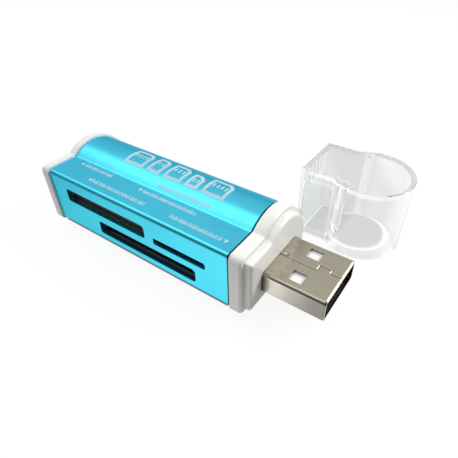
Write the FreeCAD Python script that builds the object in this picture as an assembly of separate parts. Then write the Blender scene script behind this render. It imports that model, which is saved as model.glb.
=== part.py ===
# USB card reader with a keyhole-section sleeve, card sockets inside and a clear cap beside it
# Built along X with the sleeve's plug end at X = 0, its front face at Y = 0 and its mid-plane at Z = 0
import math
import os

import FreeCAD
import Part

Vec = FreeCAD.Vector

# Sleeve: keyhole section, a flat-sided front part that runs into a larger round back
front_height = 12.44
bulge_centre_depth = 12.1
bulge_radius = 8.11
sleeve_wall = 1.0
front_corner_radius = 0.8
junction_radius = 0.9
inner_corner_radius = 0.2
slot_edge_bevel = 0.05
sleeve_end_bevel = 0.15

# Card slots, with the card that each takes and the play around it
card_play = 0.2
slot_lip = 0.2
sd_card_width = 24.3
sd_slot_height = 2.98
sd_slot_from_end = 7.68
sd_slot_centre_z = -2.83
stick_card_width = 21.1
stick_slot_height = 2.96
stick_slot_gap = 2.09
stick_slot_from_rear = 4.46
stick_slot_centre_z = 1.86
micro_card_width = 11.3
micro_slot_height = 1.44
micro_slot_from_end = 5.26
micro_slot_centre_z = 0.87
wide_slot_corner = 0.7
narrow_slot_corner = 0.5

# Collar and rear cap
flange_overhang = 0.35
flange_thickness = 2.32
flange_edge_bevel = 0.3
boss_length = 1.42
boss_edge_radius = 0.6
collar_front_wall = 1.5
spigot_length = 3.0
spigot_wall = 1.0
spigot_clearance = 0.05
rear_cap_thickness = 2.1
rear_cap_edge_bevel = 0.4
rear_spigot_length = 2.4

# Clear cap
cap_wall = 1.0
cap_top_wall = 1.2
cap_clearance = 0.1
cap_length = 15.94
cap_edge_bevel = 0.15
cap_corner_radius = 0.35
cap_gap_behind_reader = 5.7
cap_shift_x = -1.86
cap_rib_depth = 9.0
cap_rib_radius = 1.0
cap_rib_stop = 3.5
cap_rib_tip = 1.8
grip_rib_count = 4
grip_rib_pitch = 1.75
grip_rib_width = 0.8
grip_rib_height = 0.35
grip_rib_length = 4.6
grip_rib_from_top = 1.1

# Plug
plug_width = 12.0
plug_height = 4.5
plug_length = 11.7
plug_sheet = 0.3
plug_corner_radius = 0.7
plug_lead_length = 0.32
plug_lead_depth = 0.1
plug_centre_y = 10.03
plug_centre_z = -1.13
plug_hole_clearance = 0.1
plug_tail = 3.0
plug_tab_length = 1.5
plug_tab_height = 1.6
window_size = 2.5
window_from_tip = 5.16
window_from_centre = 2.0
dimple_from_tip = 10.5
dimple_off_centre = 0.6
dimple_ball_radius = 0.7
dimple_depth = 0.15
seam_width = 0.07
seam_edge_width = 0.15
seam_edge_depth = 0.06
seam_tab_start = 4.5
seam_tab_end = 2.2
seam_tab_reach = 1.3
seam_tip_reach = 0.5
tongue_thickness = 1.59
tongue_clearance = 0.25
tongue_setback = 0.9
tongue_chamfer = 0.3
plug_block_length = 3.6
contact_pad_pitch = (-3.5, -1.0, 1.0, 3.5)
plug_contact_width = 1.0
plug_contact_sheet = 0.2
plug_contact_setback = 1.4
plug_contact_tail = 2.2
plug_contact_step_start = 0.6
plug_contact_step_end = 0.2

# Board
board_thickness = 0.8
board_top = -0.2
board_edge_gap = 0.35
board_front_gap = 0.2
board_corner_radius = 0.8

# Card guides and sockets
guide_wall = 0.85
guide_roof = 0.5
guide_mouth_bevel = 0.35
guide_edge_bevel = 0.3
guide_board_margin = 0.7
contact_rise = 0.5
contact_exit = 0.2
micro_floor = 0.35
socket_sheet = 0.2
card_contact_sheet = 0.2
card_contact_depth = 0.25
contact_foot = 1.2
contact_reach = 5.0
contact_spring = 1.6
contact_bend = 0.6
contact_dip = 0.45
sd_contact_count = 9
sd_contact_pitch = 2.4
sd_contact_width = 0.9
stick_contact_count = 10
stick_contact_pitch = 1.85
stick_contact_width = 0.7
micro_contact_count = 8
micro_contact_pitch = 1.1
micro_contact_width = 0.5
guide_rib_width = 1.2
guide_rib_inset = 3.0

# Socket behind the rear slot
rear_card_width = 12.5
rear_card_thickness = 1.2
rear_socket_gap = 0.35
rear_socket_shift = -0.6
rear_socket_floor = 0.4
rear_contact_count = 11
rear_contact_pitch = 0.95
rear_contact_width = 0.4

# Small parts on the board
chip_side = 4.0
chip_height = 0.85
chip_edge_bevel = 0.15
crystal_length = 3.2
crystal_width = 2.5
crystal_height = 0.75
crystal_corner_radius = 0.25
led_length = 1.6
led_width = 0.8
led_height = 0.7
led_edge_radius = 0.2
chip_part_length = 1.6
chip_part_width = 0.8
chip_part_height = 0.5
capacitor_count = 3
resistor_count = 3
part_gap = 0.6
part_edge_margin = 0.75

sd_slot_width = sd_card_width + 2 * (card_play + slot_lip)
stick_slot_width = stick_card_width + 2 * (card_play + slot_lip)
micro_slot_width = micro_card_width + 2 * (card_play + slot_lip)
sd_slot_centre_x = -sd_slot_from_end - sd_slot_width / 2
micro_slot_centre_x = -micro_slot_from_end - micro_slot_width / 2
stick_slot_centre_x = micro_slot_centre_x - micro_slot_width / 2 - stick_slot_gap - stick_slot_width / 2
sleeve_length = -stick_slot_centre_x + stick_slot_width / 2 + stick_slot_from_rear
half_height = front_height / 2
boss_offset = flange_overhang - cap_wall - cap_clearance
spigot_offset = -sleeve_wall - spigot_clearance
boss_front = flange_thickness + boss_length
plug_tip = boss_front + plug_length
board_bottom = board_top - board_thickness
board_low_y = sleeve_wall + board_edge_gap
bulge_reach = math.sqrt((bulge_radius - sleeve_wall) ** 2 - board_bottom ** 2)
board_high_y = bulge_centre_depth + bulge_reach - board_edge_gap
guide_back = board_high_y - guide_board_margin - contact_foot - contact_rise
guide_depth = guide_back - guide_wall - sleeve_wall
parts_low_y = board_high_y - part_edge_margin - chip_side
micro_back = parts_low_y - part_gap - contact_foot - contact_rise
rear_socket_centre_y = (board_low_y + board_high_y) / 2 + rear_socket_shift
table_z = -(bulge_radius + flange_overhang)
inner_floor = -half_height + sleeve_wall
inner_ceiling = half_height - sleeve_wall


def keyhole_face(offset, corner_radius):
    """Keyhole section in the YZ plane, moved outward by the offset as a true parallel curve."""
    half = half_height + offset
    radius = bulge_radius + offset
    corner = max(corner_radius + offset, inner_corner_radius)
    fillet = junction_radius - offset
    reach = (bulge_radius + junction_radius) ** 2 - (half_height + junction_radius) ** 2
    fillet_y = bulge_centre_depth - math.sqrt(reach)
    fillet_z = half_height + junction_radius
    share = radius / (bulge_radius + junction_radius)
    touch_y = bulge_centre_depth + (fillet_y - bulge_centre_depth) * share
    touch_z = fillet_z * share
    toward = Vec(0, touch_y - fillet_y, touch_z - fillet_z).normalize() + Vec(0, 0, -1)
    middle = Vec(0, fillet_y, fillet_z) + toward.normalize() * fillet
    front = -offset
    bend = corner * (1 - math.sqrt(0.5))

    front_top = Vec(0, front, half - corner)
    corner_middle = Vec(0, front + bend, half - bend)
    strip_start = Vec(0, front + corner, half)
    strip_end = Vec(0, fillet_y, half)
    bulge_start = Vec(0, touch_y, touch_z)
    bulge_back = Vec(0, bulge_centre_depth + radius, 0)

    def below(point):
        return Vec(0, point.y, -point.z)

    curves = [
        Part.LineSegment(below(front_top), front_top),
        Part.Arc(front_top, corner_middle, strip_start),
        Part.LineSegment(strip_start, strip_end),
        Part.Arc(strip_end, middle, bulge_start),
        Part.Arc(bulge_start, bulge_back, below(bulge_start)),
        Part.Arc(below(bulge_start), below(middle), below(strip_end)),
        Part.LineSegment(below(strip_end), below(strip_start)),
        Part.Arc(below(strip_start), below(corner_middle), below(front_top)),
    ]
    return Part.Face(Part.Wire([curve.toShape() for curve in curves]))


def keyhole_bar(offset, start, end, corner_radius=front_corner_radius):
    """Solid bar of the keyhole section between two places along X, from the sleeve's corner radius or another."""
    bar = keyhole_face(offset, corner_radius).extrude(Vec(end - start, 0, 0))
    bar.translate(Vec(start, 0, 0))
    return bar


def box_between(low, high):
    """Box from its low corner to its high corner."""
    size = Vec(*high) - Vec(*low)
    return Part.makeBox(size.x, size.y, size.z, Vec(*low))


def edges_at(shape, axis, place, tolerance=1e-4):
    """Edges of a shape that lie wholly at one place along an axis."""
    chosen = []
    for edge in shape.Edges:
        box = edge.BoundBox
        low = (box.XMin, box.YMin, box.ZMin)[axis]
        high = (box.XMax, box.YMax, box.ZMax)[axis]
        if abs(low - place) < tolerance and abs(high - place) < tolerance:
            chosen.append(edge)
    return chosen


def rounded_slot(centre_x, centre_z, width, height, corner, depth_start, depth_end):
    """Bar along Y with a rounded rectangular section."""
    bar = box_between(
        (centre_x - width / 2, depth_start, centre_z - height / 2),
        (centre_x + width / 2, depth_end, centre_z + height / 2),
    )
    long_edges = [edge for edge in bar.Edges if edge.BoundBox.YLength > 1e-4]
    return bar.makeFillet(corner, long_edges)


def strip_face(points, sheet):
    """Face of a bent strip in the YZ plane, from its centre line and its sheet thickness."""
    left = []
    right = []
    for index, point in enumerate(points):
        before = points[max(index - 1, 0)]
        after = points[min(index + 1, len(points) - 1)]
        first = Vec(0, point[0] - before[0], point[1] - before[1])
        second = Vec(0, after[0] - point[0], after[1] - point[1])
        first = first.normalize() if first.Length > 0 else second.normalize()
        second = second.normalize() if second.Length > 0 else first
        bisector = (first + second).normalize()
        normal = Vec(0, -bisector.z, bisector.y)
        stretch = sheet / 2 / max(normal.dot(Vec(0, -first.z, first.y)), 0.3)
        centre = Vec(0, point[0], point[1])
        left.append(centre + normal * stretch)
        right.append(centre - normal * stretch)
    outline = left + right[::-1] + [left[0]]
    return Part.Face(Part.makePolygon(outline))


def contact_row(points, sheet, width, count, pitch, centre_x):
    """Row of equal bent contacts set out along X."""
    face = strip_face(points, sheet)
    row = []
    for index in range(count):
        place = centre_x + (index - (count - 1) / 2) * pitch - width / 2
        strip = face.extrude(Vec(width, 0, 0))
        strip.translate(Vec(place, 0, 0))
        row.append(strip)
    return Part.makeCompound(row)


# Sleeve: the extruded tube with its ends deburred, then the three slots with bevelled outer edges
sleeve = keyhole_bar(0, -sleeve_length, 0)
sleeve_ends = edges_at(sleeve, 0, -sleeve_length) + edges_at(sleeve, 0, 0)
sleeve = sleeve.makeChamfer(sleeve_end_bevel, sleeve_ends)
sleeve = sleeve.cut(keyhole_bar(-sleeve_wall, -sleeve_length - 1, 1))
slots = (
    (sd_slot_centre_x, sd_slot_centre_z, sd_slot_width, sd_slot_height, wide_slot_corner),
    (stick_slot_centre_x, stick_slot_centre_z, stick_slot_width, stick_slot_height, wide_slot_corner),
    (micro_slot_centre_x, micro_slot_centre_z, micro_slot_width, micro_slot_height, narrow_slot_corner),
)
for slot in slots:
    sleeve = sleeve.cut(rounded_slot(*slot, -1, sleeve_wall + 0.5))
slot_edges = []
for edge in edges_at(sleeve, 1, 0):
    box = edge.BoundBox
    if box.XMin > -sleeve_length + 1 and box.XMax < -1:
        slot_edges.append(edge)
sleeve = sleeve.makeChamfer(slot_edge_bevel, slot_edges)

# Front collar: flange and boss over the sleeve's end, a spigot inside it and a pocket behind the front wall
flange = keyhole_bar(flange_overhang, 0, flange_thickness)
flange = flange.makeChamfer(flange_edge_bevel, edges_at(flange, 0, flange_thickness))
boss = keyhole_bar(boss_offset, 0, boss_front)
boss = boss.makeFillet(boss_edge_radius, edges_at(boss, 0, boss_front))
spigot = keyhole_bar(spigot_offset, -spigot_length, boss_front - collar_front_wall)
pocket = keyhole_bar(spigot_offset - spigot_wall, -spigot_length - 1, boss_front - collar_front_wall)
front_collar = flange.fuse([boss, spigot]).cut(pocket)
plug_low_y = plug_centre_y - plug_width / 2
plug_high_y = plug_centre_y + plug_width / 2
plug_low_z = plug_centre_z - plug_height / 2
plug_high_z = plug_centre_z + plug_height / 2
plug_hole = box_between(
    (-spigot_length, plug_low_y - plug_hole_clearance, plug_low_z - plug_hole_clearance),
    (boss_front + 1, plug_high_y + plug_hole_clearance, plug_high_z + plug_hole_clearance),
)
plug_hole = plug_hole.makeFillet(
    plug_corner_radius + plug_hole_clearance, [edge for edge in plug_hole.Edges if edge.BoundBox.XLength > 1]
)
front_collar = front_collar.cut(plug_hole).removeSplitter()

# Rear cap: end plate with a spigot ring and the slot for the short card
rear_card_top = board_bottom - rear_socket_floor
rear_cavity_width = rear_card_width + 2 * card_play
rear_cavity_height = rear_card_thickness + 2 * card_play
rear_card_centre_z = rear_card_top - rear_cavity_height / 2
rear_face = -sleeve_length - rear_cap_thickness
plate = keyhole_bar(flange_overhang, rear_face, -sleeve_length)
plate = plate.makeChamfer(rear_cap_edge_bevel, edges_at(plate, 0, rear_face))
rear_spigot_end = -sleeve_length + rear_spigot_length
ring = keyhole_bar(spigot_offset, -sleeve_length, rear_spigot_end)
ring = ring.cut(keyhole_bar(spigot_offset - spigot_wall, -sleeve_length, rear_spigot_end + 1))
rear_slot = box_between(
    (
        rear_face - 1,
        rear_socket_centre_y - rear_cavity_width / 2 - slot_lip,
        rear_card_centre_z - rear_cavity_height / 2 - slot_lip,
    ),
    (
        -sleeve_length + 1,
        rear_socket_centre_y + rear_cavity_width / 2 + slot_lip,
        rear_card_centre_z + rear_cavity_height / 2 + slot_lip,
    ),
)
rear_slot = rear_slot.makeFillet(
    narrow_slot_corner, [edge for edge in rear_slot.Edges if edge.BoundBox.XLength > 1]
)
rear_cap = plate.fuse(ring).cut(rear_slot).removeSplitter()

# Plug shell: folded sheet tube with a narrowed tip, windows in both broad faces, a locked seam and two tabs
shell_back = -plug_tail
lead_start = plug_tip - plug_lead_length


def plug_bar(start, end, inset, corner):
    """Bar along X with the plug's rounded section, moved inward by the inset."""
    bar = box_between(
        (start, plug_low_y + inset, plug_low_z + inset), (end, plug_high_y - inset, plug_high_z - inset)
    )
    return bar.makeFillet(corner, [edge for edge in bar.Edges if edge.BoundBox.XLength > 1e-3])


def end_outline(bar, place):
    """Outline of a bar's end face at one place along X."""
    return Part.Wire(Part.__sortEdges__(edges_at(bar, 0, place)))


def plug_form(inset, overrun):
    """Plug section moved inward by the inset, with the lead-in at its tip, run on past both ends."""
    corner = plug_corner_radius - inset
    body = plug_bar(shell_back - overrun, lead_start, inset, corner)
    tip = plug_bar(plug_tip, plug_tip + 1, inset + plug_lead_depth, corner - plug_lead_depth)
    lead = Part.makeLoft([end_outline(body, lead_start), end_outline(tip, plug_tip)], True, True)
    form = body.fuse(lead)
    return form.fuse(tip) if overrun else form


inner_corner = plug_corner_radius - plug_sheet
usb_shell = plug_form(0, 0).cut(plug_form(plug_sheet, 1))
window_end = plug_tip - window_from_tip
for side in (-1, 1):
    window_y = plug_centre_y + side * (window_from_centre + window_size / 2)
    window = box_between(
        (window_end - window_size, window_y - window_size / 2, plug_low_z - 1),
        (window_end, window_y + window_size / 2, plug_high_z + 1),
    )
    usb_shell = usb_shell.cut(window)
seam_points = (
    (shell_back, 0),
    (plug_tip - seam_tab_start, 0),
    (plug_tip - seam_tab_start, seam_tab_reach),
    (plug_tip - seam_tab_end, seam_tab_reach),
    (plug_tip - seam_tab_end, seam_tip_reach),
    (plug_tip, seam_tip_reach),
)


def seam_run(start, end):
    """Slit through the top sheet along one run of the seam, opening out at the outer face."""
    along = Vec(end[0] - start[0], end[1] - start[1], 0)
    length = along.Length + seam_width
    along.normalize()
    across = Vec(-along.y, along.x, 0)
    first = Vec(start[0], plug_centre_y + start[1], 0) - along * (seam_width / 2)
    half = seam_width / 2
    wide = half + 2 * seam_edge_width
    low = plug_high_z - plug_sheet - plug_lead_depth
    profile = (
        (-half, low),
        (half, low),
        (half, plug_high_z - seam_edge_depth),
        (wide, plug_high_z + seam_edge_depth),
        (-wide, plug_high_z + seam_edge_depth),
        (-half, plug_high_z - seam_edge_depth),
        (-half, low),
    )
    outline = Part.makePolygon([first + across * side + Vec(0, 0, level) for side, level in profile])
    return Part.Face(outline).extrude(along * length)


for start, end in zip(seam_points[:-1], seam_points[1:]):
    usb_shell = usb_shell.cut(seam_run(start, end))
dimple_z = plug_high_z - dimple_depth + dimple_ball_radius
dimple_place = Vec(plug_tip - dimple_from_tip, plug_centre_y + dimple_off_centre, dimple_z)
usb_shell = usb_shell.cut(Part.makeSphere(dimple_ball_radius, dimple_place))
board_middle = (board_top + board_bottom) / 2
for side_y in (plug_low_y, plug_high_y - plug_sheet):
    tab = box_between(
        (shell_back - plug_tab_length, side_y, board_middle - plug_tab_height / 2),
        (shell_back, side_y + plug_sheet, board_middle + plug_tab_height / 2),
    )
    usb_shell = usb_shell.fuse(tab)
usb_shell = usb_shell.removeSplitter()

# Plug contacts: strips under the tongue that step up to the underside of the board
tongue_inset = plug_sheet + tongue_clearance
tongue_bottom = plug_high_z - tongue_inset - tongue_thickness
strip_z = tongue_bottom - plug_contact_sheet / 2
board_strip_z = board_bottom - plug_contact_sheet / 2
board_front = shell_back - board_front_gap
strip_tip = plug_tip - plug_contact_setback
strip_path = (
    (strip_tip, strip_z),
    (board_front + plug_contact_step_start, strip_z),
    (board_front - plug_contact_step_end, board_strip_z),
    (board_front - plug_contact_tail, board_strip_z),
)
strip = strip_face(strip_path, plug_contact_sheet).extrude(Vec(plug_contact_width, 0, 0))
strip.rotate(Vec(0, 0, 0), Vec(0, 0, 1), -90)
usb_strips = []
for place in contact_pad_pitch:
    copy = strip.copy()
    copy.translate(Vec(0, plug_centre_y + place + plug_contact_width / 2, 0))
    usb_strips.append(copy)
usb_contacts = Part.makeCompound(usb_strips)

# Plug insulator: a block that closes the shell's back and a tongue along its top, cut away round the contacts
block = plug_bar(shell_back, shell_back + plug_block_length, plug_sheet, inner_corner)
tongue = plug_bar(shell_back, plug_tip - tongue_setback, tongue_inset, inner_corner)
tongue = tongue.cut(
    box_between((shell_back - 1, plug_low_y, plug_low_z - 1), (plug_tip + 1, plug_high_y, tongue_bottom))
)
tongue_nose = [
    edge
    for edge in edges_at(tongue, 0, plug_tip - tongue_setback)
    if abs(edge.BoundBox.ZMax - tongue_bottom) < 1e-4
]
tongue = tongue.makeChamfer(tongue_chamfer, tongue_nose)
usb_insulator = block.fuse(tongue).cut(usb_contacts).removeSplitter()

# Board: outline with a narrow front between the plug's tabs and rounded rear corners
board_back = rear_spigot_end + board_edge_gap
board_step = shell_back - plug_tab_length - board_front_gap
board_outline = (
    (board_back, board_low_y),
    (board_step, board_low_y),
    (board_step, plug_low_y + plug_sheet),
    (board_front, plug_low_y + plug_sheet),
    (board_front, plug_high_y - plug_sheet),
    (board_step, plug_high_y - plug_sheet),
    (board_step, board_high_y),
    (board_back, board_high_y),
    (board_back, board_low_y),
)
board_face = Part.Face(Part.makePolygon([Vec(x, y, board_bottom) for x, y in board_outline]))
circuit_board = board_face.extrude(Vec(0, 0, board_thickness))
rear_corners = [
    edge
    for edge in edges_at(circuit_board, 0, board_back)
    if edge.BoundBox.ZLength > board_thickness / 2
]
circuit_board = circuit_board.makeFillet(board_corner_radius, rear_corners)


def front_edges(shape, front, level):
    """Edges of a shape along X at its front and at one level."""
    chosen = []
    for edge in edges_at(shape, 1, front):
        box = edge.BoundBox
        if box.ZLength < 1e-4 and abs(box.ZMin - level) < 1e-4:
            chosen.append(edge)
    return chosen


def card_guide(centre_x, card_width, depth, cavity_low, cavity_high, low, high):
    """Open-fronted moulded guide: floor, roof, side walls, back wall and a bevelled mouth."""
    half = card_width / 2 + card_play
    outer_half = half + guide_wall
    front = sleeve_wall
    back = front + depth
    outer = box_between((centre_x - outer_half, front, low), (centre_x + outer_half, back + guide_wall, high))
    outer = outer.makeChamfer(guide_edge_bevel, front_edges(outer, front, low))
    cavity = box_between((centre_x - half, front - 1, cavity_low), (centre_x + half, back, cavity_high))

    def mouth_outline(place, spread):
        left = centre_x - half - spread
        right = centre_x + half + spread
        bottom = cavity_low - spread / 2
        top = cavity_high + spread / 2
        corners = ((left, bottom), (right, bottom), (right, top), (left, top), (left, bottom))
        return Part.makePolygon([Vec(x, place, z) for x, z in corners])

    outlines = [mouth_outline(front, guide_mouth_bevel), mouth_outline(front + guide_mouth_bevel, 0)]
    mouth = Part.makeLoft(outlines, True, True)
    return outer.cut(cavity).cut(mouth)


def card_contact_path(back, board_z, card_z, dip):
    """Centre line of a card contact: foot on the board, step to its level, spring and bent tip."""
    tip = back - guide_wall - contact_reach
    return (
        (back + contact_rise + contact_foot, board_z),
        (back + contact_rise, board_z),
        (back + contact_exit, card_z),
        (tip + contact_spring, card_z),
        (tip + contact_bend, card_z + dip),
        (tip, card_z + dip / 3),
    )


on_board = board_top + card_contact_sheet / 2
under_board = board_bottom - card_contact_sheet / 2

# Lower wide guide, between the sleeve's floor and the board, with its row of contacts
sd_cavity_low = sd_slot_centre_z - sd_slot_height / 2 + slot_lip
sd_cavity_high = board_bottom - guide_roof
sd_path = card_contact_path(guide_back, under_board, sd_cavity_high - card_contact_depth, -contact_dip)
sd_contacts = contact_row(
    sd_path, card_contact_sheet, sd_contact_width, sd_contact_count, sd_contact_pitch, sd_slot_centre_x
)
sd_guide = card_guide(
    sd_slot_centre_x, sd_card_width, guide_depth, sd_cavity_low, sd_cavity_high, inner_floor, board_bottom
)
sd_guide = sd_guide.cut(sd_contacts)

# Upper wide guide, on the board, with two roof ribs up to the sleeve and its row of contacts
stick_cavity_low = stick_slot_centre_z - stick_slot_height / 2 + slot_lip
stick_cavity_high = stick_slot_centre_z + stick_slot_height / 2 - slot_lip
stick_path = card_contact_path(guide_back, on_board, stick_cavity_low + card_contact_depth, contact_dip)
stick_contacts = contact_row(
    stick_path,
    card_contact_sheet,
    stick_contact_width,
    stick_contact_count,
    stick_contact_pitch,
    stick_slot_centre_x,
)
stick_roof = stick_cavity_high + guide_roof
stick_guide = card_guide(
    stick_slot_centre_x,
    stick_card_width,
    guide_depth,
    stick_cavity_low,
    stick_cavity_high,
    board_top,
    stick_roof,
)
for side in (-1, 1):
    rib_x = stick_slot_centre_x + side * (stick_card_width / 2 - guide_rib_inset)
    rib = box_between(
        (rib_x - guide_rib_width / 2, sleeve_wall, stick_roof),
        (rib_x + guide_rib_width / 2, guide_back, inner_ceiling),
    )
    rib = rib.makeChamfer(guide_edge_bevel, front_edges(rib, sleeve_wall, inner_ceiling))
    stick_guide = stick_guide.fuse(rib)
stick_guide = stick_guide.cut(stick_contacts).removeSplitter()

# Narrow socket on the board: moulded base, row of contacts and folded steel cover
micro_half = micro_card_width / 2 + card_play
micro_low = board_top + micro_floor
micro_high = micro_slot_centre_z + micro_slot_height / 2 - slot_lip
micro_outer = micro_half + guide_wall - socket_sheet
micro_base = box_between(
    (micro_slot_centre_x - micro_outer, sleeve_wall, board_top),
    (micro_slot_centre_x + micro_outer, micro_back, micro_high),
)
micro_base = micro_base.cut(
    box_between(
        (micro_slot_centre_x - micro_half, sleeve_wall - 1, micro_low),
        (micro_slot_centre_x + micro_half, micro_back - guide_wall, micro_high + 1),
    )
)
micro_path = card_contact_path(micro_back, on_board, micro_low + card_contact_depth, contact_dip)
micro_contacts = contact_row(
    micro_path,
    card_contact_sheet,
    micro_contact_width,
    micro_contact_count,
    micro_contact_pitch,
    micro_slot_centre_x,
)
micro_base = micro_base.cut(micro_contacts)
micro_shell = box_between(
    (micro_slot_centre_x - micro_outer - socket_sheet, sleeve_wall, board_top),
    (micro_slot_centre_x + micro_outer + socket_sheet, micro_back, micro_high + socket_sheet),
)
micro_shell = micro_shell.cut(
    box_between(
        (micro_slot_centre_x - micro_outer, sleeve_wall - 1, board_top - 1),
        (micro_slot_centre_x + micro_outer, micro_back + 1, micro_high),
    )
)

# Socket behind the rear slot, under the board: base, contacts and folded steel cover
rear_start = board_back
sd_guide_rear = sd_slot_centre_x - sd_card_width / 2 - card_play - guide_wall
rear_end = sd_guide_rear - rear_socket_gap - contact_foot - contact_rise
rear_half = rear_cavity_width / 2
rear_outer = rear_half + guide_wall - socket_sheet
rear_low = rear_card_top - rear_cavity_height
rear_socket_base = box_between(
    (rear_start, rear_socket_centre_y - rear_outer, rear_low),
    (rear_end, rear_socket_centre_y + rear_outer, board_bottom),
)
rear_socket_base = rear_socket_base.cut(
    box_between(
        (rear_start - 1, rear_socket_centre_y - rear_half, rear_low - 1),
        (rear_end - guide_wall, rear_socket_centre_y + rear_half, rear_card_top),
    )
)
rear_path = card_contact_path(rear_end, under_board, rear_card_top - card_contact_depth, -contact_dip)
rear_strip = strip_face(rear_path, card_contact_sheet).extrude(Vec(rear_contact_width, 0, 0))
rear_strip.rotate(Vec(0, 0, 0), Vec(0, 0, 1), -90)
rear_strips = []
for index in range(rear_contact_count):
    place = (index - (rear_contact_count - 1) / 2) * rear_contact_pitch + rear_contact_width / 2
    copy = rear_strip.copy()
    copy.translate(Vec(0, rear_socket_centre_y + place, 0))
    rear_strips.append(copy)
rear_socket_contacts = Part.makeCompound(rear_strips)
rear_socket_base = rear_socket_base.cut(rear_socket_contacts)
rear_socket_shell = box_between(
    (rear_start, rear_socket_centre_y - rear_outer - socket_sheet, rear_low - socket_sheet),
    (rear_end, rear_socket_centre_y + rear_outer + socket_sheet, board_bottom),
)
rear_socket_shell = rear_socket_shell.cut(
    box_between(
        (rear_start - 1, rear_socket_centre_y - rear_outer, rear_low),
        (rear_end + 1, rear_socket_centre_y + rear_outer, board_bottom + 1),
    )
)

# Controller, crystal, light and chip parts on the board behind the narrow socket
chip_x = micro_slot_centre_x - chip_side / 2
controller_chip = box_between(
    (chip_x, parts_low_y, board_top), (chip_x + chip_side, parts_low_y + chip_side, board_top + chip_height)
)
chip_top = board_top + chip_height
controller_chip = controller_chip.makeChamfer(chip_edge_bevel, edges_at(controller_chip, 2, chip_top))
crystal_x = chip_x + chip_side + part_gap
crystal = box_between(
    (crystal_x, parts_low_y, board_top),
    (crystal_x + crystal_width, parts_low_y + crystal_length, board_top + crystal_height),
)
upright_edges = [edge for edge in crystal.Edges if edge.BoundBox.ZLength > 0.1]
crystal = crystal.makeFillet(crystal_corner_radius, upright_edges)
led_x = board_front - part_gap - led_width
led_top = board_top + led_height
activity_led = box_between(
    (led_x, plug_centre_y - led_length / 2, board_top),
    (led_x + led_width, plug_centre_y + led_length / 2, led_top),
)
activity_led = activity_led.makeFillet(led_edge_radius, edges_at(activity_led, 2, led_top))
chip_part_pitch = chip_part_width + part_gap


def chip_parts(first_x, first_y, count):
    """Row of equal chip parts along X."""
    row = []
    for index in range(count):
        start = first_x + index * chip_part_pitch
        row.append(
            box_between(
                (start, first_y, board_top),
                (start + chip_part_width, first_y + chip_part_length, board_top + chip_part_height),
            )
        )
    return Part.makeCompound(row)


capacitors = chip_parts(chip_x - capacitor_count * chip_part_pitch, parts_low_y, capacitor_count)
second_row_y = parts_low_y + chip_part_length + part_gap
resistors = chip_parts(chip_x - resistor_count * chip_part_pitch, second_row_y, resistor_count)

# Clear cap: keyhole cup over the boss, two pointed ribs at the waist and grip ribs on its narrow wall
cap_base_corner = cap_corner_radius - flange_overhang
cap = keyhole_bar(flange_overhang, 0, cap_length, cap_base_corner)
cap = cap.makeChamfer(cap_edge_bevel, edges_at(cap, 0, cap_length))
cap = cap.cut(keyhole_bar(flange_overhang - cap_wall, -1, cap_length - cap_top_wall, cap_base_corner))
cap_inner_radius = bulge_radius + flange_overhang - cap_wall
cap_rib_z = math.sqrt(cap_inner_radius ** 2 - (bulge_centre_depth - cap_rib_depth) ** 2)
cap_rib_start = cap_rib_stop + cap_rib_tip
cap_rib_length = cap_length - cap_rib_start - cap_top_wall / 2
along_x = Vec(1, 0, 0)
for side in (-1, 1):
    rib_tip = Vec(cap_rib_stop, cap_rib_depth, side * cap_rib_z)
    rib_base = Vec(cap_rib_start, cap_rib_depth, side * cap_rib_z)
    rib = Part.makeCylinder(cap_rib_radius, cap_rib_length, rib_base, along_x)
    rib = rib.fuse(Part.makeCone(0, cap_rib_radius, cap_rib_tip, rib_tip, along_x))
    cap = cap.fuse(rib.common(keyhole_bar(0, 0, cap_length)))
grip_x = cap_length - grip_rib_from_top - grip_rib_length
grip_y = -flange_overhang - grip_rib_height + grip_rib_width / 2
for index in range(grip_rib_count):
    grip_z = (index - (grip_rib_count - 1) / 2) * grip_rib_pitch
    grip = Part.makeCylinder(grip_rib_width / 2, grip_rib_length, Vec(grip_x, grip_y, grip_z), along_x)
    cap = cap.fuse(grip)
cap = cap.removeSplitter()
cap.rotate(Vec(0, 0, 0), Vec(1, 1, 1), -120)
cap_centre_y = bulge_centre_depth + bulge_radius + 2 * flange_overhang + cap_gap_behind_reader + bulge_radius
cap.translate(Vec(cap_shift_x, cap_centre_y, table_z))

pieces = {
    "sleeve": sleeve,
    "front_collar": front_collar,
    "rear_cap": rear_cap,
    "usb_shell": usb_shell,
    "usb_insulator": usb_insulator,
    "usb_contacts": usb_contacts,
    "circuit_board": circuit_board,
    "sd_guide": sd_guide,
    "sd_contacts": sd_contacts,
    "stick_guide": stick_guide,
    "stick_contacts": stick_contacts,
    "micro_base": micro_base,
    "micro_shell": micro_shell,
    "micro_contacts": micro_contacts,
    "rear_socket_base": rear_socket_base,
    "rear_socket_shell": rear_socket_shell,
    "rear_socket_contacts": rear_socket_contacts,
    "controller_chip": controller_chip,
    "crystal": crystal,
    "activity_led": activity_led,
    "capacitors": capacitors,
    "resistors": resistors,
    "cap": cap,
}

# Row frame: the origin lies under the middle of the whole part's box, on the table
whole_low_x = rear_face
whole_high_x = max(plug_tip, cap_shift_x + bulge_centre_depth + bulge_radius + flange_overhang)
whole_low_y = -flange_overhang
whole_high_y = cap_centre_y + bulge_radius + flange_overhang
shift = Vec(-(whole_low_x + whole_high_x) / 2, -(whole_low_y + whole_high_y) / 2, -table_z)
os.makedirs("parts", exist_ok=True)
for name, shape in pieces.items():
    shape.translate(shift)
    shape.exportStep("parts/" + name + ".step")
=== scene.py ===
# USB card reader: a blue keyhole-section sleeve with card slots, white ends and a metal plug,
# with its clear cap standing beside it
import math

import bmesh
import bpy
from mathutils import Matrix, Vector


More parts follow.
